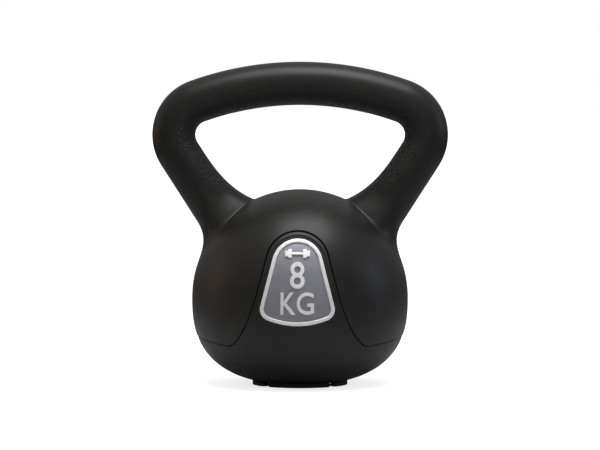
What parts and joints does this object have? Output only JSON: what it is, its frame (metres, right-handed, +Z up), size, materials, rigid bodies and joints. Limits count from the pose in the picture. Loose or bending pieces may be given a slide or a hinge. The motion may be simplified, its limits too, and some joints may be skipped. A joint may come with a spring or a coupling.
{
  "type": "kettlebell",
  "caption": "Free weight with a wide rounded-trapezoid handle over a ball body, cement-filled in a plastic casing, with a bell-shaped weight badge and rubber feet.",
  "frame": {"origin": "centre of the footprint, on the surface that the feet stand on", "axes": "+Z up through the ball's centre and the middle of the handle, +X along the handle's bar, -Y out of the side with the weight badge"},
  "size_m": [0.26, 0.1899, 0.2835],
  "materials": {
    "casing": "satin",
    "cement": "matte",
    "rubber": "matte",
    "badge_grey": "satin",
    "badge_silver": "satin",
    "adhesive": "matte"
  },
  "bodies": {
    "root": {"upper_shell": "casing", "lower_shell": "casing", "cement_core": "cement", "base_plug": "rubber", "foot_front": "rubber", "foot_right": "rubber", "foot_rear": "rubber", "foot_left": "rubber", "badge_plate": "badge_grey", "badge_rim": "badge_silver", "badge_adhesive": "adhesive", "digit_8": "badge_silver", "letter_k": "badge_silver", "letter_g": "badge_silver", "badge_emblem": "badge_silver"}
  },
  "joints": []
}
